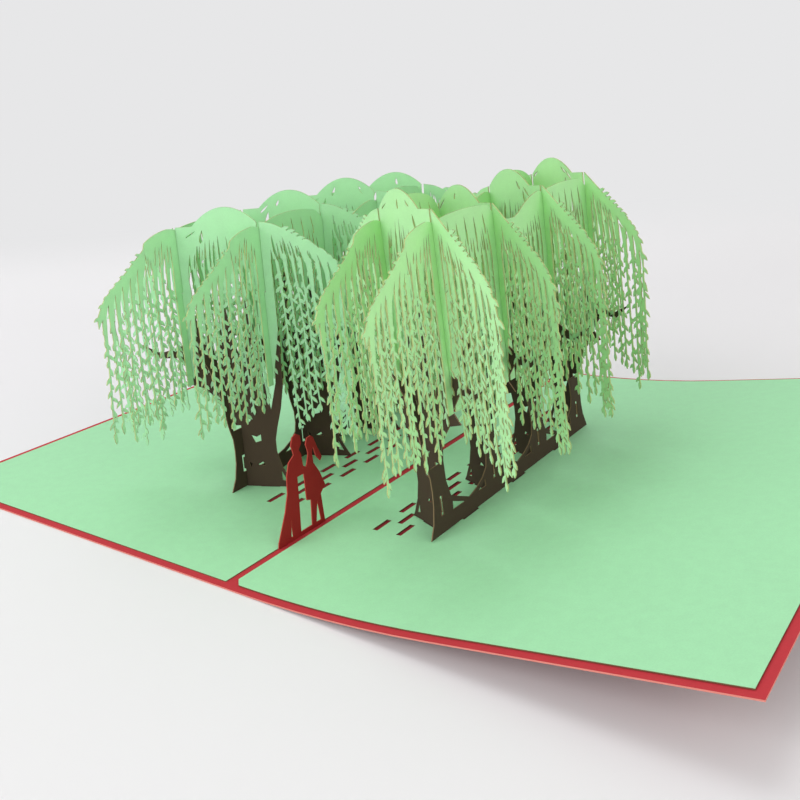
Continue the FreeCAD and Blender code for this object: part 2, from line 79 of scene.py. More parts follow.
# Crown of a long canopy, as points along it and heights
NEAR_LOBE = [(-32.0, 64.5), (-29.0, 69.0), (-25.0, 72.0), (-20.0, 75.2), (-16.0, 78.2),
             (-13.0, 80.4), (-12.2, 82.2), (-8.0, 84.0), (-3.2, 84.8)]
LONG_SHOULDER = 84.2
ROUNDING = ((0.0, 0.0), (3.0, 0.43), (7.0, 0.8), (12.0, 1.0), (17.0, 1.0), (22.0, 0.82),
            (26.0, 0.43))
DOME_END = [(28.4, 82.6), (30.5, 80.6)]
VALLEY = [(40.0, 79.6), (45.5, 82.0), (50.0, 83.8), (54.8, 84.8)]
FAR_LOBE = [(95.0, 77.8), (102.0, 74.0), (107.0, 70.0), (109.5, 65.0)]

# Branches: broad stems beside the slots, and thin ones that hang from the hem of the crown
HEM = 73.0
HEM_LAP = 0.4  # how far the crown's card reaches below its hem
THIN_CROWN = 2.6  # least height of the crown's card at the ends of its lobes
CROSS_BAND = 2.8  # half width of a broad stem
CROSS_BAND_TOP = 80.0
CROSS_BAND_END = 54.0
CROSS_BAND_TIP = 41.0
LONG_BAND = 3.0
LONG_BAND_TOP = 78.0
LONG_BAND_END = 36.0
LEAN = {-1: 0.05, 1: -0.035}
LOBE_HANG = 55.0
DOME_HANG = 45.0
TIP_LOW = {-1: 18.0, 1: 21.0}
DOME_TIP = 30.0
LONG_TIP = 28.5
LOBE_UNEVEN = 2.6  # how much shorter every other branch is
UNEVEN = 3.0
BRANCH_STEPS = 11
STEM_SHARE = 0.7  # a stem's width as a share of the space that its branch has
FAN_DEPTH = 4.0  # the branches start to fan out this far below the hem, going up
FAN_HEIGHT = 22.0
ROOMY = (6.5, 1.9)  # a crown this deep and a branch this wide take a middle slit
BRANCH_SHARES = (0.72, 1.3)  # range of a branch's space, before the spaces are fitted
BRANCH_SHORTER = (-1.5, -0.5, 0.5, 2.0, 4.5)  # choices, added to the height of a tip
BRANCH_SWAY = 0.9
BRANCH_WAVE = 4.6
STEM_TAPER = 2.1
STEM_LEAST = 0.5
STEM_TIP = 0.35
LOBE_DEPTH, LOBE_THINNING = 11.5, 0.42  # crown card at a lobe's slot, and loss for each mm
NEAR_DEPTH, NEAR_THINNING = 12.5, 0.42  # the same for the end lobes of a long canopy
FAR_DEPTH, FAR_THINNING = 11.0, 0.36

# Leaves: ranges of length, width, angle from straight down in degrees, and step downward
LEAF_LENGTH = (2.1, 3.2)
LEAF_WIDTH = (0.75, 1.05)
LEAF_ANGLE = (14, 46)
LEAF_STEP = (1.3, 2.7)
SAME_SIDE = 0.15  # chance that a leaf is on the same side as the one above it
END_LEAF = (2.7, 1.05)
STEM_LEAF = (2.6, 0.95)
STEM_END_LEAF = (2.7, 1.0)
LONG_RIM_LEAF = (2.0, 0.85)
RIM_LAP = 0.5
RIM_LEAVES = 13
LONG_RIM_LEAVES = 9
RIM_LEAF_LENGTH = (1.9, 3.3)
RIM_LEAF_WIDTH = 1.05

# Slits in the crowns: place, drop below the rim or height, length, width where it varies, lean
LOBE_SLITS = ((3.4, 3.0, 8.5, 1.6), (6.6, 3.6, 7.0, 2.2), (10.4, 3.0, 4.6, 2.2),
              (13.8, 2.6, 3.8, 2.2))
RIM_SLITS = (-5.4, -1.2, 3.4, 8.0)
DOME_SLITS = ((-4.4, 85.0, 4.0, 1.1, -1.0), (-6.6, 80.5, 10.0, 1.5, -0.6),
              (-1.6, 80.5, 9.0, 1.2, 0.2), (1.8, 79.0, 7.0, 0.9, 0.3),
              (4.8, 81.5, 8.0, 1.0, 0.8), (8.4, 79.5, 7.0, 0.9, 0.5))
LONG_SLITS = ((6.0, 1.4, 8.0, 0.5), (10.0, 2.4, 7.0, 0.6), (14.0, 1.6, 8.0, 0.8),
              (18.5, 2.2, 8.0, 0.8), (23.0, 1.8, 6.0, 1.0))

# Outlines of small shapes: share of the length, and offset to the side as a share of the width
LEAF = ((0.0, 0.10), (0.32, 0.44), (0.62, 0.48), (1.0, 0.0), (0.62, -0.48), (0.32, -0.44),
        (0.0, -0.10))
TEARDROP = ((0.0, 0.0), (0.3, 0.3), (0.6, 0.5), (0.88, 0.36), (1.0, 0.0), (0.88, -0.36),
            (0.6, -0.5), (0.3, -0.3))
SPINDLE = ((0.0, 0.0), (0.2, 0.2), (0.42, 0.38), (0.68, 0.5), (0.9, 0.34), (1.0, 0.0))

# Colours, in sRGB from 0 to 255. The light gives the two rows their own tints.
LINER_GREEN = (168, 230, 179)
LINER_EDGE = (116, 92, 62)
CANOPY_GREEN = {"left": (198, 246, 206), "right": (204, 249, 201)}
CANOPY_LIGHT = {"left": (206, 248, 178), "right": (216, 250, 150)}
CANOPY_EDGE = (186, 200, 132)
TRUNK_BROWN = (70, 56, 44)
TRUNK_EDGE = (126, 104, 78)
COUPLE_RED = (152, 34, 33)
COUPLE_EDGE = (176, 66, 56)
COVER_RED = (196, 56, 64)
COVER_EDGE = (214, 132, 120)
# Painted shade: the cover's downward faces get a darker red than its card, so they bounce less red
# light onto the table
COVER_UNDERSIDE_PAINTED_SHADE = (140, 62, 68)
TABLE_WHITE = (235, 234, 235)
WALL_WHITE = (231, 231, 232)

# Paper. Noise textures have a scale for each metre, a detail and a roughness.
GRAIN = (2600.0, 3.0, 0.6)
MOTTLE = (340.0, 3.0, 0.55)
CLOUD = (28.0, 2.0, 0.5)
GRAIN_HEIGHT = 0.00005
TONES = (0.34, 0.66)  # range of the mottle that the card's two tones share
TONE_LIGHT = 1.01
FLECKS = (0.38, 0.6, 0.96, 1.0)  # range of a noise, and the shades that it becomes
DRIFT = (0.3, 0.7, 0.996, 1.0)
ROUGH_LESS, ROUGH_MORE = 0.06, 0.08
PAPER_IOR = 1.45
CUT_FACE = 0.5  # a cosine below this to the sheet's direction makes a cut face
LIGHT_THROUGH = 0.35  # share of the light that passes through the canopies' thin card
# Painted shade: within these ranges, leaving out the spine, the cover is darkened as the shade in
# the recess under the liners
PAINTED_SHADE_RANGES = ((0.0032, 0.1315), (-0.0991, 0.0991))  # ranges of |x| and |y|, in metres
PAINTED_SHADE_UNDER_LINERS = 0.74


# Materials
def socket_colour(rgb, scale=1.0):
    """An sRGB colour given as 0 to 255, as the linear colour that a shader takes."""
    out = []
    for value in rgb:
        v = value / 255.0 * scale
        out.append(v / 12.92 if v <= 0.04045 else ((v + 0.055) / 1.055) ** 2.4)
    return (out[0], out[1], out[2], 1.0)


class Shading:
    """A new material's node tree. Most methods add one node and return its output."""

    def __init__(self, name):
        self.material = bpy.data.materials.new(name)
        self.material.use_nodes = True
        self.tree = self.material.node_tree
        self.tree.nodes.clear()

    def node(self, kind, inputs=None, **settings):
        """An input takes a plain value or the output of another node."""
        node = self.tree.nodes.new(kind)
        for key, value in settings.items():
            setattr(node, key, value)
        for key, value in (inputs or {}).items():
            if isinstance(value, bpy.types.NodeSocket):
                self.tree.links.new(value, node.inputs[key])
            else:
                node.inputs[key].default_value = value
        return node

    def noise(self, place, scale, detail, roughness):
        return self.node("ShaderNodeTexNoise", {"Vector": place, "Scale": scale, "Detail": detail,
                                                "Roughness": roughness}).outputs["Fac"]

    def normal(self):
        return self.node("ShaderNodeNewGeometry").outputs["True Normal"]

    def math(self, operation, *values):
        return self.node("ShaderNodeMath", dict(enumerate(values)), operation=operation).outputs[0]

    def split(self, vector):
        return self.node("ShaderNodeSeparateXYZ", {0: vector}).outputs

    def remap(self, value, low, high, to_low=0.0, to_high=1.0, kind="LINEAR"):
        return self.node("ShaderNodeMapRange",
                         {"Value": value, "From Min": low, "From Max": high, "To Min": to_low,
                          "To Max": to_high}, interpolation_type=kind).outputs["Result"]

    def mix(self, share, first, second, kind="MIX"):
        return self.node("ShaderNodeMix", {"Factor": share, "A": first, "B": second},
                         data_type="RGBA", blend_type=kind).outputs["Result"]

    def mix_shaders(self, share, first, second):
        return self.node("ShaderNodeMixShader", {0: share, 1: first, 2: second}).outputs[0]

    def finish(self, shader):
        self.node("ShaderNodeOutputMaterial", {0: shader})
        return self.material


def paper(name, colour, shade=0.99, rough=0.82, bump=0.2, gloss=0.28, edge=None, facing=None,
          through=None, outside=None, recess=None):
    """Uncoated craft card: fine grain, a soft mottle and faint flecks.

    edge is the colour of the cut faces, which look away from the sheet's own direction, facing.
    through is the colour of the light that passes through, outside that of the faces that look
    down, a darker red painted in as shade. recess holds the ranges of |x| and |y| that lie under
    other sheets, where the card is painted darker as the shade of that recess.
    """
    s = Shading(name)
    place = s.node("ShaderNodeTexCoord").outputs["Object"]
    grain = s.noise(place, *GRAIN)
    mottle = s.noise(place, *MOTTLE)
    cloud = s.noise(place, *CLOUD)

    surface = s.mix(s.remap(mottle, *TONES), socket_colour(colour, shade),
                    socket_colour(colour, TONE_LIGHT))
    surface = s.mix(1.0, surface, s.remap(grain, *FLECKS), "MULTIPLY")
    surface = s.mix(1.0, surface, s.remap(cloud, *DRIFT), "MULTIPLY")
    if recess is not None:
        # Painted shade: seen through the openings of the sheets glued on it, the card is darkened
        # to stand in for the shade in that recess
        inside = [s.math("COMPARE", s.math("ABSOLUTE", part), (first + last) / 2,
                         (last - first) / 2)
                  for part, (first, last) in zip(s.split(place), recess)]
        surface = s.mix(s.math("MULTIPLY", *inside), surface,
                        socket_colour(colour, PAINTED_SHADE_UNDER_LINERS))
    # Painted shade: faces that look down take the darker outside colour, which tones down the red
    # light they bounce into shadows
    if outside is not None:
        down = s.math("LESS_THAN", s.split(s.normal())["Z"], -CUT_FACE)
        surface = s.mix(down, surface, socket_colour(outside))
    if edge is not None:
        across = s.node("ShaderNodeVectorMath", {0: s.normal(), 1: facing},
                        operation="DOT_PRODUCT")
        cut = s.math("LESS_THAN", s.math("ABSOLUTE", across.outputs["Value"]), CUT_FACE)
        surface = s.mix(cut, surface, socket_colour(edge))

    relief = s.node("ShaderNodeBump", {"Height": grain, "Strength": bump,
                                       "Distance": GRAIN_HEIGHT})
    shader = s.node("ShaderNodeBsdfPrincipled", {
        "Base Color": surface,
        "Roughness": s.remap(mottle, 0.0, 1.0, rough - ROUGH_LESS, rough + ROUGH_MORE),
        "IOR": PAPER_IOR,
        "Specular IOR Level": gloss,
        "Normal": relief.outputs["Normal"]}).outputs[0]
    if through is not None:
        lit = s.node("ShaderNodeBsdfTranslucent", {"Color": socket_colour(through)}).outputs[0]
        shader = s.mix_shaders(LIGHT_THROUGH, shader, lit)
    return s.finish(shader)


canopy_face = {row: paper("%s canopy card" % row, CANOPY_GREEN[row], through=CANOPY_LIGHT[row])
               for _, row in SIDES}
canopy_rim = paper("canopy cut edge", CANOPY_EDGE, shade=0.85, bump=0.1)


def new_object(name, data):
    item = bpy.data.objects.new(name, data)
    bpy.context.scene.collection.objects.link(item)
    return item


def row_frame(side):
    """A row's foot, and its directions outward, upward and inward along its cross sheets."""
    rise = COVER_THICK + LINER_THICK
    if side < 0:
        foot = Vector((-ROW_OFFSET[side], 0, rise))
        outward = Vector((-1, 0, 0))
        upward = Vector((0, 0, 1))
    else:
        rise += CURL_GAP
        turn = (ROW_OFFSET[side] - CURL_START) / CURL_RADIUS
        outward = Vector((math.cos(turn), 0, math.sin(turn)))
        upward = Vector((-math.sin(turn), 0, math.cos(turn)))
        foot = Vector((CURL_START + (CURL_RADIUS - rise) * math.sin(turn), 0,
                       CURL_RADIUS - (CURL_RADIUS - rise) * math.cos(turn))) + upward * FOOT_GAP
    return foot, outward, upward, outward * -math.sin(CROSS) + AWAY * math.cos(CROSS)


# Flat shapes, in millimetres
def leaf(x, y, angle, length, width):
    """A lance-shaped leaf that hangs from its stalk point, angle from straight down."""
    dx, dy = math.sin(angle), -math.cos(angle)
    nx, ny = -dy, dx
    return [(x + dx * length * t + nx * width * w, y + dy * length * t + ny * width * w)
            for t, w in LEAF]


def ribbon(path, widths):
    """A strip that follows a path, with a width at each of its points."""
    left = []
    right = []
    for i, (x, y) in enumerate(path):
        ax, ay = path[max(i - 1, 0)]
        bx, by = path[min(i + 1, len(path) - 1)]
        length = math.hypot(bx - ax, by - ay)
        nx, ny = -(by - ay) / length, (bx - ax) / length
        left.append((x + nx * widths[i] / 2, y + ny * widths[i] / 2))
        right.append((x - nx * widths[i] / 2, y - ny * widths[i] / 2))
    return right + left[::-1]


def slit(x, y, tall, wide, lean, bow=0.0):
    """A long teardrop opening, pointed at the top."""
    return [(x + lean * t + bow * math.sin(math.pi * t) + wide * w, y - tall * t)
            for t, w in TEARDROP]


def slot_along(line, high, low, wide):
    """A long opening pointed at both ends that follows a branch's own line."""
    right = []
    left = []
    for t, w in SPINDLE:
        y = high + (low - high) * t
        right.append((line(y) + wide * w, y))
        if 0.0 < t < 1.0:
            left.append((line(y) - wide * w, y))
    return right + left[::-1]


def rounded(points, tension=0.5):
    """More points along a soft curve through the listed ones."""
    out = []
    last = len(points) - 1
    for i in range(last):
        before = points[max(i - 1, 0)]
        a, b = points[i], points[i + 1]
        after = points[min(i + 2, last)]
        for step in range(3):
            t = step / 3
            place = []
            for axis in (0, 1):
                start = (b[axis] - before[axis]) * tension
                end = (after[axis] - a[axis]) * tension
                place.append((2 * t ** 3 - 3 * t * t + 1) * a[axis]
                             + (t ** 3 - 2 * t * t + t) * start
                             + (3 * t * t - 2 * t ** 3) * b[axis] + (t ** 3 - t * t) * end)
            out.append(tuple(place))
    out.append(points[-1])
    return out


def height_along(edge):
    """The height of a crown's top edge as a function of x."""
    def height(x):
        for (a, height_a), (b, height_b) in zip(edge, edge[1:]):
            if a <= x <= b:
                return height_a + (height_b - height_a) * (x - a) / (b - a)
        return edge[0][1] if x < edge[0][0] else edge[-1][1]
    return height


def signed_area(shape):
    total = 0.0
    for (ax, ay), (bx, by) in zip(shape, shape[1:] + shape[:1]):
        total += ax * by - bx * ay
    return total / 2


def largest_part(faces, count):
    """The faces of the largest connected part: slivers that the slits cut loose fall away."""
    parent = list(range(count))

    def root(i):
        while parent[i] != i:
            parent[i] = parent[parent[i]]
            i = parent[i]
        return i

    for a, b, c in faces:
        parent[root(a)] = root(b)
        parent[root(b)] = root(c)
    extent = {}
    for face in faces:
        extent[root(face[0])] = extent.get(root(face[0]), 0) + 1
    body = max(extent, key=extent.get)
    return [face for face in faces if root(face[0]) == body]


class Sheet:
    """A canopy sheet in its own plane: shapes of card, and cuts that are taken out of them."""

    def __init__(self, rng):
        self.rng = rng
        self.fills = []
        self.cuts = []

    def hood(self, crest, depth):
        """The card of a crown, from its top edge down to the hem."""
        self.fills.append(crest + [(x, y - depth(x) - HEM_LAP) for x, y in reversed(crest)])

    def branch(self, line, top, tip, drift, stem, leaf_from):
        """One willow branch: a stem that thins downward with leaves on both sides."""
        rng = self.rng
        sway = rng.uniform(-BRANCH_SWAY, BRANCH_SWAY)
        phase = rng.uniform(0.0, 1.5)
        path = []
        widths = []
        for i in range(BRANCH_STEPS + 1):
            t = i / BRANCH_STEPS
            y = top + (tip - top) * t
            bend = drift * t + sway * math.sin(phase + BRANCH_WAVE * t) * t
            path.append((line(y) + bend, y))
            thick = max(STEM_LEAST, stem * (1 - STEM_TAPER * t))
            widths.append(thick if t < 1 else STEM_TIP)
        self.fills.append(ribbon(path, widths))

        def on_path(y):
            t = min(max((y - top) / (tip - top) * BRANCH_STEPS, 0.0), BRANCH_STEPS - 0.001)
            i = int(t)
            a, b = path[i], path[i + 1]
            return a[0] + (b[0] - a[0]) * (t - i)

        y = leaf_from
        side = rng.choice((-1, 1))
        while y > tip + 1.0:
            length = rng.uniform(*LEAF_LENGTH)
            angle = side * math.radians(rng.uniform(*LEAF_ANGLE))
            self.fills.append(leaf(on_path(y), y, angle, length, rng.uniform(*LEAF_WIDTH)))
            side = -side if rng.random() < 1 - SAME_SIDE else side
            y -= rng.uniform(*LEAF_STEP)
        self.fills.append(leaf(on_path(tip + 0.6), tip + 0.9,
                               math.radians(rng.uniform(-8, 8)), *END_LEAF))

    def pointed_end(self, x, half_width, top, tip):
        """The pointed end of a broad stem, with a few leaves."""
        rng = self.rng
        self.fills.append([(x - half_width, top), (x - 0.3, tip), (x + 0.3, tip),
                           (x + half_width, top)])
        y = top - 3.0
        side = rng.choice((-1, 1))
        while y > tip:
            reach = half_width * (y - tip) / (top - tip) * 0.8
            angle = side * math.radians(rng.uniform(20, 44))
            self.fills.append(leaf(x + side * reach, y, angle, *STEM_LEAF))
            side = -side
            y -= rng.uniform(1.6, 2.8)
        self.fills.append(leaf(x, tip + 0.4, 0.0, *STEM_END_LEAF))

    def branches(self, first, last, count, top, depth, tip, drift, apex, fan=0.8, solid=2.2):
        """Branches that fan out from the crown's apex and then hang, parted by pointed slits.

        top and depth give the crown's edge and the height of its card, tip and drift each
        branch's lower end and how far it leans. The slits end at least solid below the edge.
        """
        rng = self.rng
        shares = [rng.uniform(*BRANCH_SHARES) for _ in range(count)]
        borders = [first]
        for share in shares:
            borders.append(borders[-1] + (last - first) * share / sum(shares))

        def line_at(x):
            low = top(x) - depth(x) - FAN_DEPTH

            def line(y):
                return x + fan * (apex - x) * max((y - low) / FAN_HEIGHT, 0.0) ** 2
            return line

        for i in range(count):
            x = (borders[i] + borders[i + 1]) / 2
            pitch = abs(borders[i + 1] - borders[i])
            hem = top(x) - depth(x)
            low = tip(x, i) + rng.choice(BRANCH_SHORTER)
            start = hem - rng.uniform(0.0, 6.0)
            self.branch(line_at(x), min(hem + 4.0, top(x) - 1.0), low, drift(x),
                        pitch * STEM_SHARE, start)
            if depth(x) > ROOMY[0] and pitch > ROOMY[1]:
                high = hem + depth(x) - solid - rng.uniform(0.0, 2.5)
                self.cuts.append(slot_along(line_at(x), high, hem + rng.uniform(0.0, 1.0), 0.55))
        pitch = abs(last - first) / count
        for x in borders:
            hem = top(x) - depth(x)
            high = hem + max(min(rng.uniform(2.0, 9.5), depth(x) - solid + 0.6), 0.4)
            self.cuts.append(slot_along(line_at(x), high, hem - rng.uniform(5.0, 9.0),
                                        pitch * rng.uniform(0.3, 0.46)))

    def outline(self):
        """The joined shapes less the cuts, as points and triangles in the plane."""
        points = []
        loops = []
        for shape in self.fills + self.cuts:
            if signed_area(shape) < 0:
                shape = shape[::-1]
            loops.append(list(range(len(points), len(points) + len(shape))))
            points.extend(Vector(p) for p in shape)
        verts, _, faces, _, _, sources = delaunay_2d_cdt(points, [], loops, 1, 1e-4)
        kept = []
        for face, source in zip(faces, sources):
            if source and all(s < len(self.fills) for s in source):
                a, b, c = (verts[i] for i in face)
                turn = (b - a).cross(c - a)
                if abs(turn) >= 1e-7:
                    kept.append(tuple(face) if turn > 0 else tuple(reversed(face)))
        kept = largest_part(kept, len(verts))
        used = sorted({i for face in kept for i in face})
        place = {old: new for new, old in enumerate(used)}
        return [verts[i] for i in used], [tuple(place[i] for i in face) for face in kept]

    def build(self, name, origin, along, upward, low):
        """The sheet as a closed plate: two faces, and a rim along each free edge."""
        verts, faces = self.outline()
        count = len(verts)
        normal = along.cross(upward)
        corners = [(origin + along * v.x + upward * v.y + normal * depth) * MM
                   for depth in (low + THICK, low) for v in verts]
        polygons = []
        edges = {}
        for a, b, c in faces:
            polygons += [(a, b, c), (a + count, c + count, b + count)]
            for edge in ((a, b), (b, c), (c, a)):
                edges[edge] = True
        rim = [(a, a + count, b + count, b) for a, b in edges if (b, a) not in edges]
        mesh = bpy.data.meshes.new(name)
        mesh.from_pydata([tuple(c) for c in corners], [], polygons + rim)
        mesh.materials.append(canopy_face[name.split("_")[0]])
        mesh.materials.append(canopy_rim)
        mesh.polygons.foreach_set("material_index", [0] * len(polygons) + [1] * len(rim))
        mesh.update()
        return new_object(name, mesh)


def cross_canopy(side, rng):
    """The canopy across a row: a lobe outside each slot and a dome between the slots."""
    sheet = Sheet(rng)
    shift = -THICK / math.tan(CROSS)
    half = (THICK / math.sin(CROSS) + THICK / math.tan(CROSS)) / 2 + CLEAR
    meet = SLOT_MEET - SLOT_PLAY
    left = shift - SLOT_STEP - half
    right = shift + SLOT_STEP + half
    dome_left = left + 2 * half
    dome_right = right - 2 * half
    middle = (DOME_FIRST + dome_right) / 2
    stem = SLOT_STEP - CROSS_BAND

    def tilted(points):
        return [(x, y + CROWN_TILT[side] * x) for x, y in points]

    outer = tilted(rounded([(left - s, SHOULDER - drop) for s, drop in OUTER_DROP]))
    inner = tilted(rounded([(right + s, SHOULDER - drop) for s, drop in INNER_DROP]))
    dome = [(dome_left, SHOULDER)]
    for i in range(DOME_STEPS + 1):
        x = DOME_FIRST + (dome_right - DOME_FIRST) * i / DOME_STEPS
        bow = 1 - ((x - middle) / (middle - DOME_FIRST)) ** 2
        dome.append((x, SHOULDER + DOME_RISE * bow))
    dome = tilted(dome)
    crown = height_along(dome)

    def lobe_depth(x):
        return max(LOBE_DEPTH - LOBE_THINNING * (abs(x) - SLOT_STEP), THIN_CROWN)

    def lobe_tip(x, i):
        return TIP_LOW[side] + 0.4 * (36 - abs(x)) + (LOBE_UNEVEN if i % 2 else 0.0)

    def lobe_drift(x):
        return LEAN[side] * (0.3 if x < 0 else 1.0) * LOBE_HANG

    def dome_depth(x):
        return crown(x) - HEM

    def dome_tip(x, i):
        return DOME_TIP + (UNEVEN if i % 2 else 0.0)

    def dome_drift(x):
        return LEAN[side] * DOME_HANG

    for way, edge, crest in ((-1, left, outer), (1, right, inner)):
        top = height_along(crest)
        far_side = way * (SLOT_STEP + CROSS_BAND)
        sheet.hood(crest, lobe_depth)
        sheet.fills.append([(edge, meet - 0.5), (edge, CROSS_BAND_TOP), (far_side, CROSS_BAND_TOP),
                            (far_side, CROSS_BAND_END), (edge, CROSS_BAND_END)])
        sheet.pointed_end(way * SLOT_STEP, CROSS_BAND, CROSS_BAND_END + 0.2, CROSS_BAND_TIP)
        end_x, end_y = crest[0] if way < 0 else crest[-1]
        reach = abs(end_x)
        sheet.branches(way * (SLOT_STEP + CROSS_BAND + 0.5), way * (reach - 0.7), 8, top,
                       lobe_depth, lobe_tip, lobe_drift, apex=way * SLOT_STEP)
        for inset, rise in ((0.4, 1.0), (2.2, 6.0)):
            sheet.branch(lambda y: end_x - way * inset, end_y + rise,
                         TIP_LOW[side] + rng.uniform(1.0, 6.0), 0.0, 1.0, end_y + rise)
        for i in range(RIM_LEAVES):
            x = edge + way * (6.5 + (reach - abs(edge) - 6.7) * i / (RIM_LEAVES - 1))
            sheet.fills.append(leaf(x, top(x) - RIM_LAP, way * math.radians(104 - 5 * i),
                                    rng.uniform(*RIM_LEAF_LENGTH), RIM_LEAF_WIDTH))
        for place, drop, tall, lean in LOBE_SLITS:
            x = edge + way * place
            sheet.cuts.append(slit(x, top(x) - drop, tall, 0.8, way * lean, way * -0.4))

    # The inner half of each broad stem, the card below the slots, and the dome
    sheet.fills += [
        [(-SLOT_STEP - 0.1, CROSS_BAND_END), (-stem, CROSS_BAND_END), (-stem, meet + 4),
         (dome_left, meet + 4), (dome_left, meet), (-SLOT_STEP - 0.1, meet)],
        [(stem, CROSS_BAND_END), (SLOT_STEP + 0.1, CROSS_BAND_END), (SLOT_STEP + 0.1, meet),
         (dome_right, meet), (dome_right, meet + 4), (stem, meet + 4)],
        [(left, CROSS_BAND_END), (dome_left, CROSS_BAND_END), (dome_left, meet), (left, meet)],
        [(dome_right, CROSS_BAND_END), (right, CROSS_BAND_END), (right, meet), (dome_right, meet)],
        dome + [(dome_right, meet), (stem, meet), (stem, HEM), (-stem, HEM), (-stem, meet),
                (dome_left, meet)]]
    sheet.branches(-stem + 0.3, stem - 0.3, 7, crown, dome_depth, dome_tip, dome_drift,
                   apex=0.0, fan=0.5, solid=7.0)
    for x in RIM_SLITS:
        x += rng.uniform(-1.4, 1.4)
        lean = (x - middle) * rng.uniform(0.25, 0.45)
        tall = rng.uniform(1.6, 3.4)
        if rng.random() < 0.75:
            sheet.cuts.append(slit(x, crown(x) - rng.uniform(1.3, 2.6), tall, 0.85, lean))
    for x, y, tall, wide, lean in DOME_SLITS:
        sheet.cuts.append(slit(x, y + CROWN_TILT[side] * x, tall, wide, lean))
    return sheet


def long_canopy(lifts, rise, rng):
    """The canopy along a row, with a band and a slot at each of its trees."""
    sheet = Sheet(rng)
    dome = [(x, LONG_SHOULDER + rise * part) for x, part in ROUNDING] + DOME_END
    far_dome = [(2 * TREE_STEP + x, y) for x, y in dome]
    crest = rounded(NEAR_LOBE + dome + VALLEY + far_dome + FAR_LOBE, 0.4)
    top = height_along(crest)
    shift = -THICK / 2 / math.sin(CROSS)
    half = (2 * THICK / math.sin(CROSS) + THICK / math.tan(CROSS)) / 2 + CLEAR
    last = (TREES - 1) * TREE_STEP

    def depth(u):
        if u < 0:
            return max(NEAR_DEPTH - NEAR_THINNING * -u, THIN_CROWN)
        if u > last:
            return max(FAR_DEPTH - FAR_THINNING * (u - last), THIN_CROWN)
        return top(u) - HEM

    def tip(x, i):
        return LONG_TIP + (UNEVEN if i % 2 else 0.0)

    sheet.hood(crest, depth)
    for k in range(TREES):
        middle = k * TREE_STEP
        meet = SLOT_MEET + SLOT_PLAY + lifts[k]
        slot = middle + shift
        near, far = middle - LONG_BAND, middle + LONG_BAND
        sheet.fills.append([(far, LONG_BAND_TOP), (near, LONG_BAND_TOP), (near, LONG_BAND_END),
                            (far, LONG_BAND_END)])
        sheet.cuts.append([(slot - half, LONG_BAND_END - 2.0), (slot + half, LONG_BAND_END - 2.0),
                           (slot + half, meet), (slot - half, meet)])

    # Branches of the near lobe, between the trees and of the far lobe
    edge = LONG_BAND + 0.3
    sheet.branches(-31.4, -edge, 10, top, depth, tip, lambda x: -1.5, apex=0.0, fan=0.7)
    for k in range(TREES - 1):
        first = k * TREE_STEP + edge
        end = (k + 1) * TREE_STEP - edge
        sheet.branches(first, end, 8, top, depth, tip, lambda x: 0.0, apex=(first + end) / 2,
                       fan=0.4, solid=6.0)
    sheet.branches(last + edge, 108.9, 7, top, depth, tip, lambda x: 1.5, apex=last, fan=0.7)

    for i in range(LONG_RIM_LEAVES):
        share = i / (LONG_RIM_LEAVES - 1)
        for u, way in ((-14.0 - 17.5 * share, -1), (last + 9.0 + 13.0 * share, 1)):
            sheet.fills.append(leaf(u, top(u) - RIM_LAP, way * math.radians(100 - 5 * i),
                                    *LONG_RIM_LEAF))
    sheet.cuts.append(slit(-12.6, 79.8, 13.0, 0.9, 0.4))
    for start in (0.0, 2 * TREE_STEP):
        for x, drop, tall, lean in LONG_SLITS:
            sheet.cuts.append(slit(start + x, top(start + x) - drop, tall, 0.9, lean))
    return sheet


def put_in_place(piece, label):
    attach(piece, "root")
    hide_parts(label)


seeds = itertools.count(12)
for side, row in SIDES:
    foot, outward, upward, inward = row_frame(side)
    first = foot + AWAY * FIRST_TREE
    low = THICK / 2 if side < 0 else -1.5 * THICK
    for k in range(TREES):
        label = "%s_cross_canopy_%d" % (row, k + 1)
        origin = first + AWAY * (k * TREE_STEP) + upward * LIFTS[side][k]
        sheet = cross_canopy(side, random.Random(next(seeds)))
        put_in_place(sheet.build(label + "_cut", origin, inward, upward, low), label)
    for line, where in ((-1, "outer"), (1, "inner")):
        label = "%s_%s_long_canopy" % (row, where)
        s = line * SLOT_STEP
        origin = (first + outward * (-s * math.sin(CROSS)) + AWAY * (s * math.cos(CROSS))
                  + upward * LONG_LIFT[side])
        lifts = [lift - LONG_LIFT[side] for lift in LIFTS[side]]
        rise = LONG_RISE[where if where == "outer" else side]
        sheet = long_canopy(lifts, rise, random.Random(next(seeds)))
        put_in_place(sheet.build(label + "_cut", origin, AWAY, upward, -THICK / 2), label)


# Card for the solids that stay
def dress(name, material):
    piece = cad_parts[name]
    if not piece.material_slots:
        piece.data.materials.append(material)
    for slot in piece.material_slots:
        slot.link = "OBJECT"
        slot.material = material


# The cover carries painted shade on its downward faces and where it lies under the liners
dress("cover", paper("cover card", COVER_RED, edge=COVER_EDGE, facing=(0, 0, 1),
                     outside=COVER_UNDERSIDE_PAINTED_SHADE, recess=PAINTED_SHADE_RANGES))
for side, row in SIDES:
    foot, outward, upward, inward = row_frame(side)
    dress("%s_liner" % row, paper("%s liner card" % row, LINER_GREEN, shade=0.994, rough=0.7,
                                  gloss=0.5, edge=LINER_EDGE, facing=(0, 0, 1)))
    dress("%s_trunk_strip" % row, paper("%s strip card" % row, TRUNK_BROWN, edge=TRUNK_EDGE,
                                        facing=tuple(outward)))
    bark = paper("%s trunk card" % row, TRUNK_BROWN, edge=TRUNK_EDGE,
                 facing=tuple(inward.cross(upward)))
    for k in range(TREES):
        dress("%s_cross_trunk_%d" % (row, k + 1), bark)
dress("couple", paper("couple card", COUPLE_RED, edge=COUPLE_EDGE, facing=(1, 0, 0)))


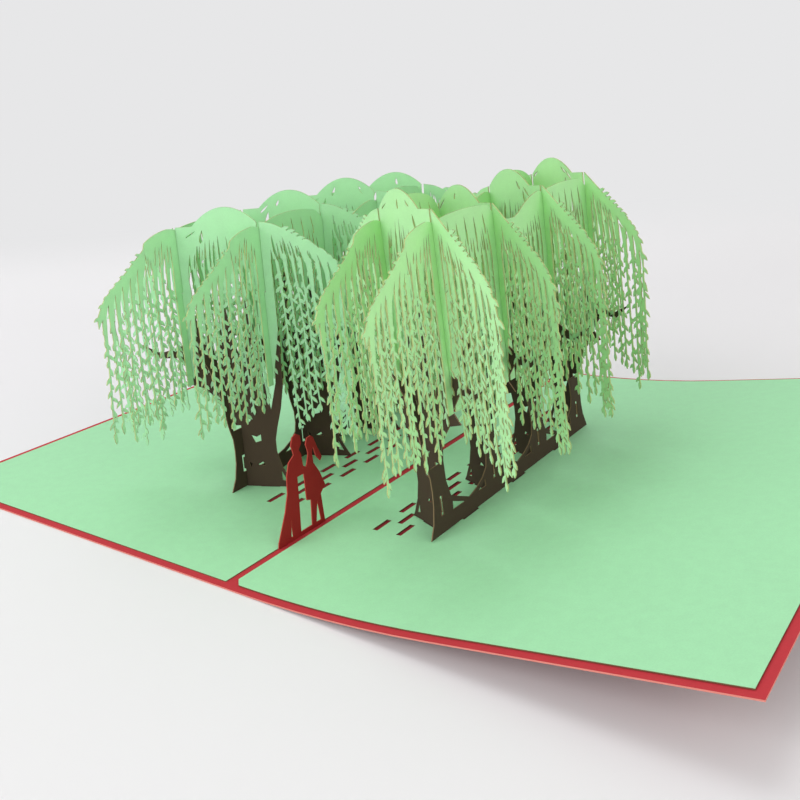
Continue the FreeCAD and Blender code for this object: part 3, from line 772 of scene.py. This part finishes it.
# The table and the wall behind it, in metres
def stage_material(name, table_colour, wall_colour, low, high):
    """Pale paint whose colour turns from the table's to the wall's between two heights."""
    s = Shading(name)
    paint = s.node("ShaderNodeBsdfPrincipled", {"Base Color": socket_colour(table_colour),
                                                "Roughness": 0.9, "Specular IOR Level": 0.1})
    shown = s.node("ShaderNodeEmission", {"Color": socket_colour(wall_colour), "Strength": 1.0})
    place = s.node("ShaderNodeNewGeometry").outputs["Position"]
    height = s.remap(s.split(place)["Z"], low, high, kind="SMOOTHSTEP")
    ray = s.node("ShaderNodeLightPath").outputs
    seen = s.math("MAXIMUM", ray["Is Camera Ray"], ray["Is Glossy Ray"])
    return s.finish(s.mix_shaders(s.math("MULTIPLY", height, seen), paint.outputs[0],
                                  shown.outputs[0]))


def sweep(front, start, radius, high, half_width, yaw, steps=24):
    """A table top that bends up into a wall behind the card."""
    section = [(front, 0.0), (start, 0.0)]
    for i in range(1, steps + 1):
        turn = math.radians(90 * i / steps)
        section.append((start + radius * math.sin(turn), radius - radius * math.cos(turn)))
    section.append((start + radius, high))
    drop = 0.00005  # keeps the table clear of the cover's underside
    verts = [(x, y, z - drop) for x in (-half_width, half_width) for y, z in section]
    count = len(section)
    faces = [(i, i + count, i + count + 1, i + 1) for i in range(count - 1)]
    mesh = bpy.data.meshes.new("table")
    mesh.from_pydata(verts, [], faces)
    for polygon in mesh.polygons:
        polygon.use_smooth = True
    mesh.materials.append(stage_material("table paint", TABLE_WHITE, WALL_WHITE, low=0.0005,
                                         high=0.026))
    table = new_object("table", mesh)
    table.rotation_euler = (0, 0, yaw)


sweep(front=-1.5, start=0.24, radius=0.5, high=2.2, half_width=3.0, yaw=math.radians(36))


# Light: a soft window above the card, and wide lamps that fill from the front and the right
def area_light(name, place, target, size, power, colour):
    lamp = bpy.data.lights.new(name, "AREA")
    lamp.shape = "DISK"
    lamp.size = size
    lamp.energy = power
    lamp.color = colour
    item = new_object(name, lamp)
    item.location = place
    aim = Vector(target) - Vector(place)
    item.rotation_euler = aim.to_track_quat("-Z", "Y").to_euler()


area_light("window", place=(-0.3, 0.14, 1.4), target=(0, 0, 0), size=0.8, power=4.0,
           colour=(0.95, 0.98, 1.0))
area_light("room", place=(-0.35, -1.1, 0.42), target=(0, 0, 0.05), size=1.4, power=10.5,
           colour=(0.99, 0.99, 1.0))
area_light("side", place=(1.1, -0.25, 0.35), target=(0, 0, 0.05), size=1.4, power=6.5,
           colour=(1.0, 0.965, 0.9))

world = bpy.data.worlds.new("room")
bpy.context.scene.world = world
world.use_nodes = True
tree = world.node_tree
tree.nodes.clear()
sky = tree.nodes.new("ShaderNodeBackground")
sky.inputs["Color"].default_value = (1.0, 0.995, 1.0, 1.0)
sky.inputs["Strength"].default_value = 0.51
sky_out = tree.nodes.new("ShaderNodeOutputWorld")
tree.links.new(sky.outputs[0], sky_out.inputs[0])

# Camera, as fitted to the card's edges in the photo
PICTURE_PIXELS = 800.0
FOCAL_PIXELS = 936.88
SENSOR = 36.0
CAMERA_PLACE = Vector((0.165127, -0.246481, 0.122559))
YAW, PITCH, ROLL = 0.627689, 0.331984, -0.058979

camera_data = bpy.data.cameras.new("camera")
camera_data.sensor_width = SENSOR
camera_data.lens = SENSOR * FOCAL_PIXELS / PICTURE_PIXELS
camera_data.clip_start = 0.01
camera_data.clip_end = 20.0
camera = new_object("camera", camera_data)
ahead = Vector((-math.sin(YAW) * math.cos(PITCH), math.cos(YAW) * math.cos(PITCH),
                -math.sin(PITCH)))
level = Vector((math.cos(YAW), math.sin(YAW), 0))
above = level.cross(ahead)
right = level * math.cos(ROLL) + above * math.sin(ROLL)
up = above * math.cos(ROLL) - level * math.sin(ROLL)
turn = Matrix((right, up, -ahead)).transposed()
camera.matrix_world = Matrix.Translation(CAMERA_PLACE) @ turn.to_4x4()
bpy.context.scene.camera = camera

bpy.context.scene.view_settings.view_transform = "Standard"
